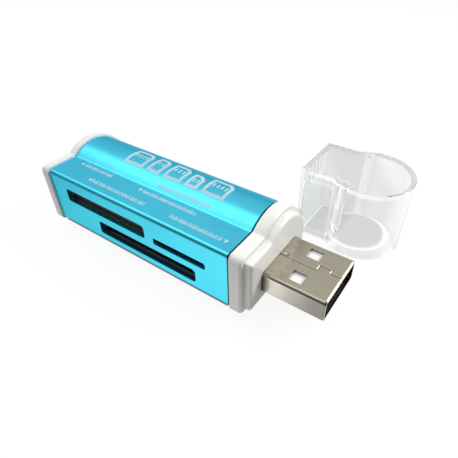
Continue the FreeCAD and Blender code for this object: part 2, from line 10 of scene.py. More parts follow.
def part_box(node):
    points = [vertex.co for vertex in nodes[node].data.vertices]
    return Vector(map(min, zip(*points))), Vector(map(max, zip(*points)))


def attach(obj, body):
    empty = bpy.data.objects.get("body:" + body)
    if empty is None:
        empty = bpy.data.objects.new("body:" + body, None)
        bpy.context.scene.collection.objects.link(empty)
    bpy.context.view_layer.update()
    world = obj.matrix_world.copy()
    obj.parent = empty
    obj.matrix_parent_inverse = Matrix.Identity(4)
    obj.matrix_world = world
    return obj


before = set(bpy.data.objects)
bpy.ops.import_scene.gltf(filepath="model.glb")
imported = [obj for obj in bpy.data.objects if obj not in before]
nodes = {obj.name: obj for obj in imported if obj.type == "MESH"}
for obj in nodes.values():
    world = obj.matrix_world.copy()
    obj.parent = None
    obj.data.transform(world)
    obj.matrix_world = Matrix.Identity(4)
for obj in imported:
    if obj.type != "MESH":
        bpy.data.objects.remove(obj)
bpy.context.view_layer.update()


# Circuit board: thin glass-fibre laminate under green solder mask, which every socket is soldered to.
# Copper tracks run under the mask and show as paler green lines; it lies along the middle of the sleeve.
def new_finish(name, roughness, metallic=0.0):
    """Material whose Principled shader has a plain roughness and metalness."""
    material = bpy.data.materials.new(name)
    material.use_nodes = True
    shader = material.node_tree.nodes["Principled BSDF"]
    shader.inputs["Roughness"].default_value = roughness
    shader.inputs["Metallic"].default_value = metallic
    return material, shader


def add_node(tree, kind, **settings):
    """Node of one kind with its settings made by name."""
    node = tree.nodes.new(kind)
    for name, value in settings.items():
        setattr(node, name, value)
    return node


def dress(material, *names):
    """Gives CAD nodes one material."""
    for name in names:
        for slot in nodes[name].material_slots:
            slot.material = material


mask_green = (0.012, 0.095, 0.04, 1)
track_green = (0.03, 0.19, 0.08, 1)
track_pitch = 0.0018
track_width = 0.0003
track_height = 0.00003

solder_mask, shader = new_finish("solder_mask", 0.32)
tree = solder_mask.node_tree
place = add_node(tree, "ShaderNodeTexCoord")
tracks = add_node(tree, "ShaderNodeTexBrick", offset=0.37, squash=1.6, squash_frequency=3)
tracks.inputs["Color1"].default_value = mask_green
tracks.inputs["Color2"].default_value = mask_green
tracks.inputs["Mortar"].default_value = track_green
tracks.inputs["Scale"].default_value = 1 / track_pitch
tracks.inputs["Mortar Size"].default_value = track_width / track_pitch / 2
tracks.inputs["Brick Width"].default_value = 3.0
tracks.inputs["Row Height"].default_value = 0.5
raised = add_node(tree, "ShaderNodeBump")
raised.inputs["Strength"].default_value = 0.3
raised.inputs["Distance"].default_value = track_height
tree.links.new(place.outputs["Object"], tracks.inputs["Vector"])
tree.links.new(tracks.outputs["Color"], shader.inputs["Base Color"])
tree.links.new(tracks.outputs["Fac"], raised.inputs["Height"])
tree.links.new(raised.outputs["Normal"], shader.inputs["Normal"])
dress(solder_mask, "circuit_board")


# Moulded black parts: the two open card guides, the bases of the closed sockets and the controller's body.
# Matt black resin with a fine spark-eroded grain, moulded in one piece each, soldered or pressed on.
# The stick card's guide is painted brown behind its mouth, a painted glint on its inside.
def combined(tree, operation, first, second):
    """Output of one arithmetic step on two other outputs."""
    node = add_node(tree, "ShaderNodeMath", operation=operation)
    tree.links.new(first, node.inputs[0])
    tree.links.new(second, node.inputs[1])
    return node.outputs[0]


def start_finish_group(name, pattern_socket, pattern_kind):
    """Node group with the sockets of every finish and one for the size of its pattern."""
    group = bpy.data.node_groups.new(name, "ShaderNodeTree")
    for socket, side, kind in (
        ("Colour", "INPUT", "NodeSocketColor"),
        ("Tone Change", "INPUT", "NodeSocketFloat"),
        ("Roughness", "INPUT", "NodeSocketFloat"),
        ("Roughness Change", "INPUT", "NodeSocketFloat"),
        (pattern_socket, "INPUT", pattern_kind),
        ("Colour", "OUTPUT", "NodeSocketColor"),
        ("Roughness", "OUTPUT", "NodeSocketFloat"),
        ("Height", "OUTPUT", "NodeSocketFloat"),
    ):
        group.interface.new_socket(socket, in_out=side, socket_type=kind)
    return group, add_node(group, "NodeGroupInput"), add_node(group, "NodeGroupOutput")


def end_finish_group(group, given, result, fine, slow, slow_low, slow_high):
    """Lets a slow pattern change the group's tone, and a fine one its roughness and height."""
    low_tone = add_node(group, "ShaderNodeMath", operation="SUBTRACT")
    low_tone.inputs[0].default_value = 1
    high_tone = add_node(group, "ShaderNodeMath", operation="ADD")
    high_tone.inputs[0].default_value = 1
    tone = add_node(group, "ShaderNodeMapRange")
    tone.inputs["From Min"].default_value = slow_low
    tone.inputs["From Max"].default_value = slow_high
    toned = add_node(group, "ShaderNodeHueSaturation")
    centred = add_node(group, "ShaderNodeMath", operation="SUBTRACT")
    centred.inputs[1].default_value = 0.5
    rough = add_node(group, "ShaderNodeMath", operation="MULTIPLY_ADD")
    links = group.links
    links.new(given.outputs["Tone Change"], low_tone.inputs[1])
    links.new(given.outputs["Tone Change"], high_tone.inputs[1])
    links.new(slow, tone.inputs["Value"])
    links.new(low_tone.outputs[0], tone.inputs["To Min"])
    links.new(high_tone.outputs[0], tone.inputs["To Max"])
    links.new(tone.outputs["Result"], toned.inputs["Value"])
    links.new(given.outputs["Colour"], toned.inputs["Color"])
    links.new(fine, centred.inputs[0])
    links.new(centred.outputs[0], rough.inputs[0])
    links.new(given.outputs["Roughness Change"], rough.inputs[1])
    links.new(given.outputs["Roughness"], rough.inputs[2])
    links.new(toned.outputs["Color"], result.inputs["Colour"])
    links.new(rough.outputs[0], result.inputs["Roughness"])
    links.new(fine, result.inputs["Height"])


def moulded_grain_group():
    """Grain of a moulded surface: slow changes of tone and a fine, shallow roughness."""
    group, given, result = start_finish_group("moulded_grain", "Grain Size", "NodeSocketFloat")
    place = add_node(group, "ShaderNodeTexCoord")
    per_metre = add_node(group, "ShaderNodeMath", operation="DIVIDE")
    per_metre.inputs[0].default_value = 1
    fine = add_node(group, "ShaderNodeTexNoise")
    fine.inputs["Detail"].default_value = 2
    slow = add_node(group, "ShaderNodeTexNoise")
    slow.inputs["Scale"].default_value = 260
    slow.inputs["Detail"].default_value = 3
    group.links.new(given.outputs["Grain Size"], per_metre.inputs[1])
    group.links.new(per_metre.outputs[0], fine.inputs["Scale"])
    group.links.new(place.outputs["Object"], fine.inputs["Vector"])
    group.links.new(place.outputs["Object"], slow.inputs["Vector"])
    end_finish_group(
        group, given, result, fine.outputs["Fac"], slow.outputs["Fac"], slow_low=0.3, slow_high=0.7
    )
    return group


moulded_grain = moulded_grain_group()


def add_finish_group(material, shader, group, values, bump_depth):
    """Places a finish group in a material, sets its values and joins it to the shader."""
    tree = material.node_tree
    finish = add_node(tree, "ShaderNodeGroup", node_tree=group)
    for name, value in values.items():
        finish.inputs[name].default_value = value
    bump = add_node(tree, "ShaderNodeBump")
    bump.inputs["Strength"].default_value = 1
    bump.inputs["Distance"].default_value = bump_depth
    tree.links.new(finish.outputs["Colour"], shader.inputs["Base Color"])
    tree.links.new(finish.outputs["Roughness"], shader.inputs["Roughness"])
    tree.links.new(finish.outputs["Height"], bump.inputs["Height"])
    tree.links.new(bump.outputs["Normal"], shader.inputs["Normal"])


def moulded_finish(name, colour, tone_change, roughness, roughness_change, grain_size, bump_depth):
    """Moulded plastic with its own colour and grain."""
    material, shader = new_finish(name, roughness)
    values = {
        "Colour": (*colour, 1),
        "Tone Change": tone_change,
        "Roughness": roughness,
        "Roughness Change": roughness_change,
        "Grain Size": grain_size,
    }
    add_finish_group(material, shader, moulded_grain, values, bump_depth)
    return material, shader


def surface_place(tree):
    """X, Y and Z of a point on the surface, in the part's frame."""
    place = add_node(tree, "ShaderNodeTexCoord")
    axes = add_node(tree, "ShaderNodeSeparateXYZ")
    tree.links.new(place.outputs["Object"], axes.inputs["Vector"])
    return axes.outputs


def fade(tree, value, start, end, low=0.0, high=1.0):
    """Output that runs smoothly from one level to another between two values."""
    node = add_node(tree, "ShaderNodeMapRange", interpolation_type="SMOOTHSTEP")
    node.inputs["From Min"].default_value = start
    node.inputs["From Max"].default_value = end
    node.inputs["To Min"].default_value = low
    node.inputs["To Max"].default_value = high
    tree.links.new(value, node.inputs["Value"])
    return node.outputs["Result"]


def tint(material, shader, colour, mask, *more_masks):
    """Turns a material's colour into another where every mask is full."""
    tree = material.node_tree
    for other in more_masks:
        mask = combined(tree, "MULTIPLY", mask, other)
    plain = shader.inputs["Base Color"].links[0].from_socket
    tinted = add_node(tree, "ShaderNodeMix", data_type="RGBA")
    tinted.inputs["B"].default_value = (*colour, 1)
    tree.links.new(mask, tinted.inputs["Factor"])
    tree.links.new(plain, tinted.inputs["A"])
    tree.links.new(tinted.outputs["Result"], shader.inputs["Base Color"])


resin_black = (0.02, 0.017, 0.016)
resin_grain = {
    "tone_change": 0.25,
    "roughness": 0.42,
    "roughness_change": 0.2,
    "grain_size": 0.00012,
    "bump_depth": 0.000004,
}
black_resin, shader = moulded_finish("black_resin", resin_black, **resin_grain)
dress(black_resin, "sd_guide", "micro_base", "rear_socket_base")

# Painted brown glint inside the stick guide, fading in behind its mouth.
stick_glint_brown = (0.46, 0.34, 0.3)
stick_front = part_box("stick_guide")[0].y
glint_range = (stick_front + 0.0003, stick_front + 0.0014)
stick_resin, shader = moulded_finish("stick_resin", resin_black, **resin_grain)
tree = stick_resin.node_tree
glint_behind_mouth = fade(tree, surface_place(tree)["Y"], *glint_range)
tint(stick_resin, shader, stick_glint_brown, glint_behind_mouth)
dress(stick_resin, "stick_guide")

chip_resin, shader = moulded_finish(
    "chip_resin",
    (0.016, 0.016, 0.018),
    tone_change=0.3,
    roughness=0.6,
    roughness_change=0.25,
    grain_size=0.00006,
    bump_depth=0.000004,
)
dress(chip_resin, "controller_chip")


# Small parts on the board: ceramic capacitors, coated resistors and the activity light's clear resin body.
# Each is a block a millimetre or two long, soldered flat, the light behind the plug, the rest by the chip.
capacitor_ceramic, shader = moulded_finish(
    "capacitor_ceramic",
    (0.3, 0.2, 0.115),
    tone_change=0.15,
    roughness=0.5,
    roughness_change=0.2,
    grain_size=0.00008,
    bump_depth=0.000003,
)
dress(capacitor_ceramic, "capacitors")
resistor_coat, shader = moulded_finish(
    "resistor_coat",
    (0.018, 0.018, 0.02),
    tone_change=0.3,
    roughness=0.35,
    roughness_change=0.2,
    grain_size=0.00008,
    bump_depth=0.000003,
)
dress(resistor_coat, "resistors")
light_resin, shader = moulded_finish(
    "light_resin",
    (0.75, 0.8, 0.86),
    tone_change=0.06,
    roughness=0.2,
    roughness_change=0.1,
    grain_size=0.00015,
    bump_depth=0.000002,
)
dress(light_resin, "activity_led")


# Socket covers and the crystal's can: thin steel sheet, folded over the sockets and drawn over the crystal.
# The sheet keeps the fine lines of its rolling, which run along the sleeve.
def drawn_lines_group():
    """Fine lines left on metal by rolling or drawing, with slow changes of tone across the sheet."""
    group, given, result = start_finish_group("drawn_lines", "Line Spread", "NodeSocketVector")
    place = add_node(group, "ShaderNodeTexCoord")
    stretched = add_node(group, "ShaderNodeVectorMath", operation="MULTIPLY")
    lines = add_node(group, "ShaderNodeTexNoise")
    lines.inputs["Scale"].default_value = 1
    lines.inputs["Detail"].default_value = 4
    slow = add_node(group, "ShaderNodeTexNoise")
    slow.inputs["Scale"].default_value = 220
    slow.inputs["Detail"].default_value = 4
    group.links.new(place.outputs["Object"], stretched.inputs[0])
    group.links.new(given.outputs["Line Spread"], stretched.inputs[1])
    group.links.new(stretched.outputs["Vector"], lines.inputs["Vector"])
    group.links.new(place.outputs["Object"], slow.inputs["Vector"])
    both = combined(group, "ADD", lines.outputs["Fac"], slow.outputs["Fac"])
    end_finish_group(group, given, result, lines.outputs["Fac"], both, slow_low=0.7, slow_high=1.3)
    return group


drawn_lines = drawn_lines_group()


def metal_finish(name, colour, tone_change, roughness, roughness_change, line_spread, bump_depth):
    """Bare or plated metal with its own colour and drawn lines."""
    material, shader = new_finish(name, roughness, 1.0)
    values = {
        "Colour": (*colour, 1),
        "Tone Change": tone_change,
        "Roughness": roughness,
        "Roughness Change": roughness_change,
        "Line Spread": line_spread,
    }
    add_finish_group(material, shader, drawn_lines, values, bump_depth)
    return material, shader


socket_steel, shader = metal_finish(
    "socket_steel",
    (0.55, 0.55, 0.54),
    tone_change=0.1,
    roughness=0.3,
    roughness_change=0.2,
    line_spread=(60, 9000, 9000),
    bump_depth=0.000001,
)
dress(socket_steel, "micro_shell", "rear_socket_shell", "crystal")


# Contacts: stamped copper-alloy strips under a thin gold plate, bent at the tip to press on the card.
# The plug's four lie flat under its tongue; all of them are soldered to the board at the back.
contact_gold, shader = metal_finish(
    "contact_gold",
    (0.8, 0.56, 0.22),
    tone_change=0.08,
    roughness=0.24,
    roughness_change=0.15,
    line_spread=(9000, 60, 9000),
    bump_depth=0.000001,
)
dress(contact_gold, "usb_contacts", "sd_contacts", "stick_contacts")
dress(contact_gold, "micro_contacts", "rear_socket_contacts")


# Plug insulator: white moulded tongue and back block, slid into the plug's shell from behind.
# It shows as white squares through the shell's windows and as a band at the mouth.
# Painted shade darkens its top under the shell's seam and from the windows to just short of the mouth, so
# the narrow gap shows as a soft line.
def distance_from(tree, value, middle):
    """Output of the distance of a place from a middle, along one axis."""
    offset = add_node(tree, "ShaderNodeMath", operation="SUBTRACT")
    offset.inputs[1].default_value = middle
    tree.links.new(value, offset.inputs[0])
    distance = add_node(tree, "ShaderNodeMath", operation="ABSOLUTE")
    tree.links.new(offset.outputs[0], distance.inputs[0])
    return distance.outputs[0]


tongue_white, shader = moulded_finish(
    "tongue_white",
    (0.9, 0.93, 0.9),
    tone_change=0.03,
    roughness=0.4,
    roughness_change=0.15,
    grain_size=0.0001,
    bump_depth=0.000003,
)
tongue_painted_shade = (0.5, 0.46, 0.38)
tongue_low, tongue_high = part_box("usb_insulator")
tongue_middle = (tongue_low.y + tongue_high.y) / 2
gap_half = 0.0004
windows_end = tongue_high.x - 0.0039
mouth_start = tongue_high.x - 0.0003
shade_fade = 0.0002
tree = tongue_white.node_tree
axes = surface_place(tree)
from_gap = distance_from(tree, axes["Y"], tongue_middle)
under_seam = fade(tree, from_gap, gap_half, gap_half + shade_fade, 1.0, 0.0)
past_windows = fade(tree, axes["X"], windows_end, windows_end + shade_fade)
before_mouth = fade(tree, axes["X"], mouth_start, mouth_start + shade_fade, 1.0, 0.0)
shade_under_sheet = combined(tree, "MAXIMUM", under_seam, past_windows)
# Painted shade on the tongue's top under the seam and the sheet.
tint(tongue_white, shader, tongue_painted_shade, shade_under_sheet, before_mouth)
dress(tongue_white, "usb_insulator")


# Plug shell: nickel-plated steel sheet folded to a flat tube, closed by a locking tab on its top.
# The plate is soft warm grey with the sheet's drawn lines along the plug and a mottled tone.
# Painted shade darkens it by the collar, at its bends, seam and lip and inside, and a painted reflection
# runs its near side pale to dark, dark again by the collar; a painted highlight lights its cut edge.
def surface_facing(tree):
    """X, Y and Z of the way that the surface faces."""
    facing = add_node(tree, "ShaderNodeNewGeometry")
    axes = add_node(tree, "ShaderNodeSeparateXYZ")
    tree.links.new(facing.outputs["Normal"], axes.inputs["Vector"])
    return axes.outputs


def band(tree, value, rise, fall):
    """Mask that rises from 0 to 1 between two values and falls back between two others."""
    rising = fade(tree, value, *rise)
    falling = fade(tree, value, *fall, 1.0, 0.0)
    return combined(tree, "MULTIPLY", rising, falling)


plug_nickel, shader = metal_finish(
    "plug_nickel",
    (0.53, 0.48, 0.36),
    tone_change=0.05,
    roughness=0.27,
    roughness_change=0.07,
    line_spread=(90, 7000, 7000),
    bump_depth=0.0000005,
)
near_side_reflection_nickel = (0.58, 0.535, 0.5)
side_start_reflection_nickel = (0.69, 0.64, 0.59)
side_end_reflection_nickel = (0.43, 0.395, 0.36)
side_base_reflection_nickel = (0.13, 0.12, 0.105)
top_base_shade_nickel = (0.34, 0.31, 0.24)
bend_shade_nickel = (0.36, 0.325, 0.25)
seam_shade_nickel = (0.3, 0.27, 0.21)
inside_shade_nickel = (0.15, 0.14, 0.13)
edge_highlight_nickel = (0.95, 0.93, 0.9)
side_base_reach = 0.0014
top_base_reach = 0.005
sheet_middle = 0.0002
sheet_soft = 0.00003
shell_low, shell_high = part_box("usb_shell")
shell_middle = (shell_low + shell_high) / 2
shell_half = (shell_high - shell_low) / 2
side_limit = shell_half.y - sheet_middle
top_limit = shell_half.z - sheet_middle
base_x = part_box("front_collar")[1].x
tip_x = shell_high.x
dimple_end = tip_x - 0.0095
dimple_fade = 0.0005
lip_start = tip_x - 0.00036
lip_fade = 0.00006
pale_end = (base_x + 0.003, base_x + 0.006)
dark_start = (tip_x - 0.006, tip_x - 0.001)
bend_distance = (0.004, 0.0045)
seam_distance = (0.003, 0.004)
slope_rise = (0.3, 0.5)
slope_fall = (0.94, 0.97)
near_side_facing = (-0.9, -0.6)
cut_edge_facing = (0.8, 0.95)
tree = plug_nickel.node_tree
axes = surface_place(tree)
facing = surface_facing(tree)
across = distance_from(tree, axes["Y"], shell_middle.y)
upward = distance_from(tree, axes["Z"], shell_middle.z)

# Painted shade by the collar, at the bends, along the seam and at the lip.
top_base = fade(tree, axes["X"], base_x, base_x + top_base_reach, 1.0, 0.0)
tint(plug_nickel, shader, top_base_shade_nickel, top_base)
sloping = band(tree, facing["Z"], slope_rise, slope_fall)
near_bend = fade(tree, across, *bend_distance)
tint(plug_nickel, shader, bend_shade_nickel, sloping, near_bend)
near_seam = fade(tree, across, *seam_distance, 1.0, 0.0)
past_dimple = fade(tree, axes["X"], dimple_end, dimple_end + dimple_fade)
tint(plug_nickel, shader, seam_shade_nickel, sloping, near_seam, past_dimple)
at_lip = fade(tree, axes["X"], lip_start, lip_start + lip_fade)
tint(plug_nickel, shader, bend_shade_nickel, at_lip)
# Painted reflection on the near side: pale near the collar, darker towards the tip, and dark right at the
# collar.
near_side = fade(tree, facing["Y"], *near_side_facing, 1.0, 0.0)
tint(plug_nickel, shader, near_side_reflection_nickel, near_side)
side_start = fade(tree, axes["X"], *pale_end, 1.0, 0.0)
tint(plug_nickel, shader, side_start_reflection_nickel, near_side, side_start)
side_end = fade(tree, axes["X"], *dark_start)
tint(plug_nickel, shader, side_end_reflection_nickel, near_side, side_end)
side_base = fade(tree, axes["X"], base_x, base_x + side_base_reach, 1.0, 0.0)
tint(plug_nickel, shader, side_base_reflection_nickel, near_side, side_base)
# Painted shade inside the shell.
within_sides = fade(tree, across, side_limit - sheet_soft, side_limit + sheet_soft, 1.0, 0.0)
within_height = fade(tree, upward, top_limit - sheet_soft, top_limit + sheet_soft, 1.0, 0.0)
tint(plug_nickel, shader, inside_shade_nickel, within_sides, within_height)
# Painted highlight on the lip's cut edge.
cut_edge = fade(tree, facing["X"], *cut_edge_facing)
tint(plug_nickel, shader, edge_highlight_nickel, at_lip, cut_edge)
dress(plug_nickel, "usb_shell")


# Collar and rear cap: white moulded plastic with a soft gloss, each pushed into the sleeve by a spigot.
# The collar carries the flange, the boss that the cap slides over and the hole for the plug.
white_plastic, shader = moulded_finish(
    "white_plastic",
    (0.88, 0.875, 0.85),
    tone_change=0.02,
    roughness=0.34,
    roughness_change=0.12,
    grain_size=0.00009,
    bump_depth=0.000002,
)
dress(white_plastic, "front_collar", "rear_cap")


# Sleeve: extruded aluminium tube of keyhole section, bead blasted and anodised bright cyan blue.
# The slots are punched in its front face after extruding; the dyed oxide skin gives a satin gloss.
# Painted shade darkens its cut end where it meets the collar, so a dark seam shows there.
sleeve_edge_tint = (0.45, 0.75, 0.9, 1)
seam_painted_shade = (0.004, 0.05, 0.065)
seam_reach = 0.0006
seam_fade = 0.00015
sleeve_low, sleeve_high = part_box("sleeve")
anodised_blue, shader = metal_finish(
    "anodised_blue",
    (0.095, 0.675, 0.86),
    tone_change=0.03,
    roughness=0.3,
    roughness_change=0.06,
    line_spread=(40, 5000, 5000),
    bump_depth=0.0000005,
)
shader.inputs["Specular Tint"].default_value = sleeve_edge_tint
tree = anodised_blue.node_tree
seam_start = sleeve_high.x - seam_reach
# Painted shade on the sleeve's last fraction of a millimetre before the collar.
seam = fade(tree, surface_place(tree)["X"], seam_start, seam_start + seam_fade)
tint(anodised_blue, shader, seam_painted_shade, seam)
dress(anodised_blue, "sleeve")


# Print on the sleeve: white ink laid on after anodising, a hundredth of a millimetre thick.
# Triangles beside rows of short bars point to the slots, and plain card outlines lie along the bulge.
strip_rise = 0.00622
ink_lift = 0.000012
ink_depth = 0.00003
bulge_radius = (sleeve_high.z - sleeve_low.z) / 2
bulge_axis_y = sleeve_high.y - bulge_radius
bulge_axis_z = sleeve_low.z + bulge_radius


def on_strip(along, depth):
    """Point on the flat strip, from the sleeve's plug end and its front face."""
    return (sleeve_high.x + along, sleeve_low.y + depth, bulge_axis_z + strip_rise + ink_lift)


def on_bulge(along, arc):
    """Point on the bulge, from the sleeve's plug end and along the arc behind its top."""
    angle = arc / bulge_radius
    radius = bulge_radius + ink_lift
    return (
        sleeve_high.x + along,
        bulge_axis_y + radius * math.sin(angle),
        bulge_axis_z + radius * math.cos(angle),
    )


def add_patch(shape, place, first, last, steps):
    """Patch of ink between two short edges, in steps so that it follows the surface."""
    rows = []
    for step in range(steps + 1):
        share = step / steps
        row = []
        for start, end in zip(first, last):
            along = start[0] + (end[0] - start[0]) * share
            across = start[1] + (end[1] - start[1]) * share
            row.append(shape.verts.new(place(along, across)))
        rows.append(row)
    for low, high in zip(rows[:-1], rows[1:]):
        shape.faces.new((low[0], low[1], high[1], high[0]))


def add_marks(shape, place, start, end, middle):
    """Row of short upright bars of a few heights, in groups, between two places."""
    heights = (0.001, 0.0007, 0.0007, 0.001, 0.0007, 0.001, 0.0007)
    group_size = 5
    width = 0.00022
    gap = 0.00017
    along = start
    index = 0
    while along + width <= end:
        right = along + width
        low = middle - heights[1] / 2
        high = low + heights[index % len(heights)]
        add_patch(shape, place, ((along, low), (right, low)), ((along, high), (right, high)), steps=2)
        index += 1
        along = right + gap
        if index % group_size == 0:
            along += gap


def add_pointer(shape, place, tip_along, tip_across, turn):
    """Small solid triangle with its tip at a place, turned about it."""
    size = 0.0009
    corners = []
    for back, side in ((0, 0), (size, size / 2), (size, -size / 2)):
        along = tip_along + back * math.cos(turn) - side * math.sin(turn)
        across = tip_across + back * math.sin(turn) + side * math.cos(turn)
        corners.append(shape.verts.new(place(along, across)))
    shape.faces.new(corners)


def add_card(shape, place, left, low, width, height, bars):
    """Outline of a card with one cut corner and a row of bars for its contacts."""
    stroke = 0.0007
    cut = 0.0012
    bar_gap = 0.0003
    bar_length = 0.0012
    bar_start = 0.3
    bar_width = 0.4
    right = left + width
    high = low + height
    outer = [(left, low), (right, low), (right, high - cut), (right - cut, high), (left, high)]
    inner = []
    for index, point in enumerate(outer):
        before = Vector(point) - Vector(outer[index - 1])
        after = Vector(outer[(index + 1) % len(outer)]) - Vector(point)
        before = Vector((-before.y, before.x)).normalized()
        after = Vector((-after.y, after.x)).normalized()
        moved = Vector(point) + (before + after) * (stroke / (1 + before.dot(after)))
        inner.append(tuple(moved))
    for index in range(len(outer)):
        turn = (index + 1) % len(outer)
        add_patch(shape, place, (outer[index], inner[index]), (outer[turn], inner[turn]), steps=10)
    room = (width - 2 * stroke) / bars
    for index in range(bars):
        start = left + stroke + (index + bar_start) * room
        end = start + bar_width * room
        top = high - cut - bar_gap
        bottom = top - bar_length
        add_patch(shape, place, ((start, bottom), (end, bottom)), ((start, top), (end, top)), steps=3)


def ink_piece(name, shape):
    """Object of the ink patches, given their thickness into the surface."""
    bmesh.ops.recalc_face_normals(shape, faces=shape.faces[:])
    bmesh.ops.solidify(shape, geom=shape.faces[:], thickness=ink_depth)
    mesh = bpy.data.meshes.new(name)
    shape.to_mesh(mesh)
    shape.free()
    mesh.materials.append(ink_white)
    piece = bpy.data.objects.new(name, mesh)
    bpy.context.scene.collection.objects.link(piece)
    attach(piece, "root")


ink_white, shader = moulded_finish(
    "ink_white",
    (0.45, 0.65, 0.73),
    tone_change=0.05,
    roughness=0.5,
    roughness_change=0.2,
    grain_size=0.00006,
    bump_depth=0.000003,
)
toward_rear = 0
toward_front = math.pi / 2
strip_rows = (
    (-0.0408, -0.0327, 0.0056),
    (-0.0351, -0.0209, 0.0024),
    (-0.0241, -0.011, 0.0054),
    (-0.0147, -0.0033, 0.0025),
)
strip_pointers = (
    (-0.0422, 0.0056, toward_rear),
    (-0.0357, 0.0019, toward_front),
    (-0.0249, 0.005, toward_front),
    (-0.0025, 0.0021, toward_front),
)
strip_ink = bmesh.new()
for start, end, depth in strip_rows:
    add_marks(strip_ink, on_strip, start, end, depth)
for along, depth, turn in strip_pointers:
    add_pointer(strip_ink, on_strip, along, depth, turn)
ink_piece("strip_print", strip_ink)

card_row_start = -0.0336
card_gap = 0.001
card_low = -0.0024
card_sizes = (
    (0.0052, 0.0051, 4),
    (0.0034, 0.0051, 2),
    (0.0044, 0.0051, 3),
    (0.003, 0.0042, 2),
    (0.0052, 0.0051, 4),
)
bulge_row = (-0.0223, -0.0096, -0.0045)
bulge_ink = bmesh.new()
card_left = card_row_start
for width, height, bars in card_sizes:
    add_card(bulge_ink, on_bulge, card_left, card_low, width, height, bars)
    card_left += width + card_gap
add_marks(bulge_ink, on_bulge, *bulge_row)
ink_piece("bulge_print", bulge_ink)


# Clear cap: polished clear plastic moulded as a keyhole cup, pulled off and stood on its mouth.
# The walls are a millimetre thick, so edges and ribs show as grey and bright lines.
# They take a little light away; painted highlights clear them at the ribs, rim and ends and along frame
# lines on the flat wall, and painted shade greys the framed pane.
def distance_to(tree, place, point):
    """Output of the distance of a place from a point."""
    node = add_node(tree, "ShaderNodeVectorMath", operation="DISTANCE")
    node.inputs[1].default_value = point
    tree.links.new(place, node.inputs[0])
    return node.outputs["Value"]


def reach_toward(tree, place, side):
    """Output of how far a place lies along a direction."""
    node = add_node(tree, "ShaderNodeVectorMath", operation="DOT_PRODUCT")
    node.inputs[1].default_value = side
    tree.links.new(place, node.inputs[0])
    return node.outputs["Value"]


clear_plastic, shader = moulded_finish(
    "clear_plastic",
    (0.83, 0.83, 0.82),
    tone_change=0.01,
    roughness=0.04,
    roughness_change=0.03,
    grain_size=0.0005,
    bump_depth=0.0000008,
)
shader.inputs["Transmission Weight"].default_value = 1
shader.inputs["IOR"].default_value = 1.49
pane_shade_grey = (0.72, 0.77, 0.77)
highlight_white = (1, 1, 1)
cap_low, cap_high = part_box("cap")
cap_middle = (cap_low.y + cap_high.y) / 2
cap_round_x = cap_high.x - 0.0085
rib_x = cap_high.x - 0.01156
rib_from_middle = 0.00679
rib_reach = 0.0013
rib_fade = 0.0003
rim_start = cap_high.z - 0.0012
rim_fade = 0.0002
frame_half = 0.00045
frame_left = cap_low.x + 0.0009
frame_right = cap_low.x + 0.0079
frame_bottom = cap_low.z + 0.0014
frame_top = cap_high.z - 0.0024
wall_back = cap_low.y + 0.0034
wall_fade = 0.0003
pale_side = Vector((0.83, 0.56, 0))
pale_middle = pale_side.dot(Vector((cap_round_x, cap_middle, 0)))
round_range = (pale_middle + 0.001, pale_middle + 0.004)
round_share = 0.7
flat_range = (pale_middle - 0.009, pale_middle - 0.006)
flat_share = 0.5
upright_facing = (0.5, 0.8)
tree = clear_plastic.node_tree
axes = surface_place(tree)
folded = add_node(tree, "ShaderNodeCombineXYZ")
tree.links.new(axes["X"], folded.inputs["X"])
tree.links.new(distance_from(tree, axes["Y"], cap_middle), folded.inputs["Y"])
from_rib = distance_to(tree, folded.outputs["Vector"], (rib_x, rib_from_middle, 0))
on_rib = fade(tree, from_rib, rib_reach - rib_fade, rib_reach, 1.0, 0.0)
place = add_node(tree, "ShaderNodeTexCoord")
toward_pale = reach_toward(tree, place.outputs["Object"], pale_side)
on_round = fade(tree, toward_pale, *round_range, 0.0, round_share)
on_flat = fade(tree, toward_pale, *flat_range, flat_share, 0.0)
upright = fade(tree, surface_facing(tree)["Z"], *upright_facing, 1.0, 0.0)
at_rim = fade(tree, axes["Z"], rim_start, rim_start + rim_fade)
on_rim = combined(tree, "MULTIPLY", upright, at_rim)

on_side = fade(tree, axes["Y"], wall_back, wall_back + wall_fade, 1.0, 0.0)
in_frame = band(
    tree, axes["X"], (frame_left - frame_half, frame_left), (frame_right, frame_right + frame_half)
)
on_wall = combined(tree, "MULTIPLY", on_side, in_frame)
in_height = band(
    tree, axes["Z"], (frame_bottom - frame_half, frame_bottom), (frame_top, frame_top + frame_half)
)
# Painted shade greys the framed pane of the flat wall.
tint(clear_plastic, shader, pane_shade_grey, on_wall, in_height)
# Painted highlights at the ribs, the rim, the frame lines and the ends.
painted_highlight = combined(tree, "MAXIMUM", on_rib, on_rim)
for axis, line in (("X", frame_left), ("X", frame_right), ("Z", frame_bottom), ("Z", frame_top)):
    on_line = fade(tree, distance_from(tree, axes[axis], line), frame_half / 2, frame_half, 1.0, 0.0)
    painted_highlight = combined(tree, "MAXIMUM", painted_highlight, combined(tree, "MULTIPLY", on_wall, on_line))
painted_highlight = combined(tree, "MAXIMUM", painted_highlight, combined(tree, "MAXIMUM", on_round, on_flat))
tint(clear_plastic, shader, highlight_white, painted_highlight)
dress(clear_plastic, "cap")
cycles = bpy.context.scene.cycles
wall_bounces = 24
cycles.max_bounces = wall_bounces
cycles.glossy_bounces = wall_bounces
cycles.transmission_bounces = wall_bounces


